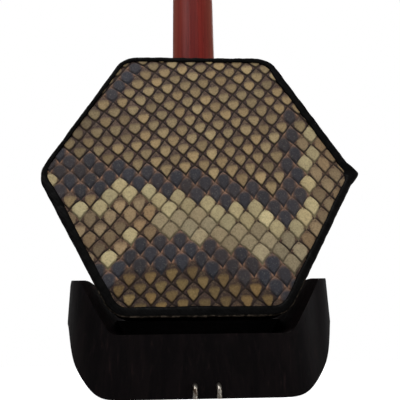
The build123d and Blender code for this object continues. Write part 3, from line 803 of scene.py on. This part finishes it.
CORD_TURNS = 7
CORD_RADIUS = 0.64           # millimetres, as all the cord's sizes
CORD_STRANDS = 3
CORD_SIDES = 12              # points round the cord
STRAND_LOBE = 0.10           # how far the strands stand out, as a share of the radius
STRAND_LAY = 7.0             # length of one twist, in radii
LOOP_STEPS = 96              # points along one turn of the loop
LOOP_TIP = 1.4               # half width of the loop's front end
LOOP_TAPER = 1.6             # how late the loop narrows to it
BINDING_TURNS = 5
BINDING_THICKNESS = 0.9      # of the loop's
BINDING_STEPS = 40
BINDING_PITCH = 1.9          # in radii
BINDING_HALF_WIDTH = 2.2
BINDING_REACH = 0.46         # half height, as a share of the loop's height
BINDING_BACK = 5.2           # how far behind the loop's front end


def teardrop(half_width, half_depth, front_reach):
    """One turn (x, y) round the neck and forward to the strings' place, in millimetres."""
    points = []
    for k in range(LOOP_STEPS):
        a = 2 * math.pi * k / LOOP_STEPS
        side, back = math.sin(a), -math.cos(a)
        if back > 0:
            points.append((side * half_width, back * half_depth))
            continue
        pull = (-back) ** LOOP_TAPER
        width = half_width + (LOOP_TIP - half_width) * pull
        points.append((side * width, back * half_depth - (front_reach - half_depth) * pull))
    return points


def build_cord(material):
    """The nut loop: one twisted cord wound round neck and strings, and bound tight in front of the neck."""
    low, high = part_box("nut_loop")
    thick = CORD_RADIUS * MM
    outline = teardrop(
        half_width=(high[0] - low[0]) / 2 / MM - CORD_RADIUS,
        half_depth=high[1] / MM - CORD_RADIUS,
        front_reach=-low[1] / MM - CORD_RADIUS,
    )
    pitch = (high[2] - low[2] - 2 * thick) / CORD_TURNS
    loop = []
    for n in range(LOOP_STEPS * CORD_TURNS + 1):
        x, y = outline[n % LOOP_STEPS]
        loop.append(Vector((x * MM, y * MM, low[2] + thick + pitch * n / LOOP_STEPS)))
    middle = Vector((0, low[1] + BINDING_BACK * MM, (low[2] + high[2]) / 2))
    reach = Vector((BINDING_HALF_WIDTH * MM, 0, (high[2] - low[2]) * BINDING_REACH))
    advance = BINDING_TURNS * BINDING_PITCH * thick
    binding = []
    count = BINDING_TURNS * BINDING_STEPS
    for n in range(count + 1):
        x, z = turned(360 * n / BINDING_STEPS)
        binding.append(middle + Vector((x * reach.x, (n / count - 0.5) * advance, z * reach.z)))
    bm = bmesh.new()
    sweep_cord(bm, loop, thick)
    sweep_cord(bm, binding, thick * BINDING_THICKNESS)
    add_piece(bm, "nut_cord", material, "nut_loop")


def sweep_cord(bm, path, radius):
    """Sweeps a twisted, three-strand section along a path and closes its ends."""
    rings = []
    length = 0.0
    for n, point in enumerate(path):
        ahead = path[min(n + 1, len(path) - 1)] - path[max(n - 1, 0)]
        ahead.normalize()
        across = ahead.cross(Vector((0, 0, 1)))
        if across.length < 0.2:
            across = ahead.cross(Vector((1, 0, 0)))
        across.normalize()
        up = across.cross(ahead)
        if n:
            length += (point - path[n - 1]).length
        twist = length / (radius * STRAND_LAY) * 2 * math.pi
        ring = []
        for k in range(CORD_SIDES):
            a = 2 * math.pi * k / CORD_SIDES
            lobe = 1 - STRAND_LOBE + STRAND_LOBE * math.cos(CORD_STRANDS * a - twist)
            ring.append(bm.verts.new(point + (across * math.cos(a) + up * math.sin(a)) * radius * lobe))
        rings.append(ring)
    for ring, following in zip(rings, rings[1:]):
        for k in range(CORD_SIDES):
            m = (k + 1) % CORD_SIDES
            smooth_face(bm, (ring[k], ring[m], following[m], following[k]))
    bm.faces.new(rings[0])
    bm.faces.new(rings[-1])


def apply_modifiers(obj):
    """Bakes an object's modifiers into its mesh."""
    bpy.context.view_layer.update()
    evaluated = obj.evaluated_get(bpy.context.evaluated_depsgraph_get())
    mesh = bpy.data.meshes.new_from_object(evaluated)
    obj.modifiers.clear()
    obj.data = mesh


EASED_EDGES = {"base": 0.45, "sound_window": 0.35}   # millimetres
SHARP_ANGLE = 38             # degrees: edges that turn by less stay as they are


def ease_edges():
    """Breaks the sharp arrises of the carved pieces, as a scraper would."""
    for node, width in EASED_EDGES.items():
        bevel = frame["nodes"][node].modifiers.new("eased_edges", "BEVEL")
        bevel.width = width * MM
        bevel.segments = 2
        bevel.limit_method = "ANGLE"
        bevel.angle_limit = math.radians(SHARP_ANGLE)


# ---- stage, light and camera ----------------------------------------------------------------------
CAMERA_AT = (-5.5, -174.3, 8.8)        # millimetres
CAMERA_PITCH = 19.27                   # degrees up
CAMERA_YAW = 2.44                      # degrees towards +X
CAMERA_ROLL = -0.95
FOCAL_LENGTH = 41.9                    # on a 36 mm sensor


def build_camera():
    data = bpy.data.cameras.new("camera")
    data.lens = FOCAL_LENGTH
    data.sensor_width = 36
    data.clip_start = 0.005
    data.clip_end = 20
    camera = bpy.data.objects.new("camera", data)
    turn = Matrix.Rotation(math.radians(-CAMERA_YAW), 4, "Z")
    turn @= Matrix.Rotation(math.radians(90 + CAMERA_PITCH), 4, "X")
    turn @= Matrix.Rotation(math.radians(CAMERA_ROLL), 4, "Z")
    camera.matrix_world = Matrix.Translation(Vector(CAMERA_AT) * MM) @ turn
    bpy.context.scene.collection.objects.link(camera)
    bpy.context.scene.camera = camera


# Name, place, what it points at and size, these three in metres, and watts.
LIGHTS = (
    ("key", (-0.35, -0.75, 0.95), (0, 0, 0.08), (0.7, 0.5), 8.5),
    ("fill", (0.85, -0.55, 0.35), (0, 0, 0.06), (0.6, 0.6), 3.2),
    ("back", (0.2, 0.9, 1.1), (0, 0, 0.3), (0.9, 0.6), 6.0),
)
FLOOR_HALF = 3.0             # metres
FLOOR_GAP = 0.02             # millimetres under the base
WORLD_DIFFUSE = 0.06         # strength of the white world as light,
WORLD_GLOSSY = 0.22          # in reflections,
WORLD_CAMERA = 1.0           # and as the camera sees it


def build_area_light(name, at, target, size, watts):
    data = bpy.data.lights.new(name, "AREA")
    data.shape = "RECTANGLE"
    data.size, data.size_y = size
    data.energy = watts
    light = bpy.data.objects.new(name, data)
    aim = (Vector(target) - Vector(at)).to_track_quat("-Z", "Y")
    light.matrix_world = Matrix.Translation(at) @ aim.to_matrix().to_4x4()
    light.visible_camera = False
    bpy.context.scene.collection.objects.link(light)


def build_stage():
    bm = bmesh.new()
    bmesh.ops.create_grid(bm, x_segments=8, y_segments=8, size=FLOOR_HALF)
    mesh = bpy.data.meshes.new("floor")
    bm.to_mesh(mesh)
    bm.free()
    floor = bpy.data.objects.new("floor", mesh)
    floor.location.z = -FLOOR_GAP * MM
    floor.data.materials.append(stage_floor())
    bpy.context.scene.collection.objects.link(floor)
    for light in LIGHTS:
        build_area_light(*light)


def build_world():
    """White for the camera, softer as light."""
    world = bpy.data.worlds.new("studio")
    bpy.context.scene.world = world
    world.use_nodes = True
    tree = world.node_tree
    rays = tree.nodes.new("ShaderNodeLightPath").outputs
    for_glossy = tree.nodes.new("ShaderNodeMix")
    tree.links.new(rays["Is Glossy Ray"], for_glossy.inputs[0])
    for_glossy.inputs[2].default_value = WORLD_DIFFUSE
    for_glossy.inputs[3].default_value = WORLD_GLOSSY
    for_camera = tree.nodes.new("ShaderNodeMix")
    tree.links.new(rays["Is Camera Ray"], for_camera.inputs[0])
    tree.links.new(for_glossy.outputs[0], for_camera.inputs[2])
    for_camera.inputs[3].default_value = WORLD_CAMERA
    background = tree.nodes["Background"]
    background.inputs["Color"].default_value = (1, 1, 1, 1)
    tree.links.new(for_camera.outputs[0], background.inputs["Strength"])
    bpy.context.scene.view_settings.view_transform = "Standard"


made = {slot: make() for slot, make in MATERIALS.items()}
dress_cad(made)
build_snakeskin(made["snakeskin"])
build_edge_band(made["band_cloth"])
build_felt(made["felt"])
build_cord(made["cord"])
ease_edges()
build_stage()
build_world()
build_camera()
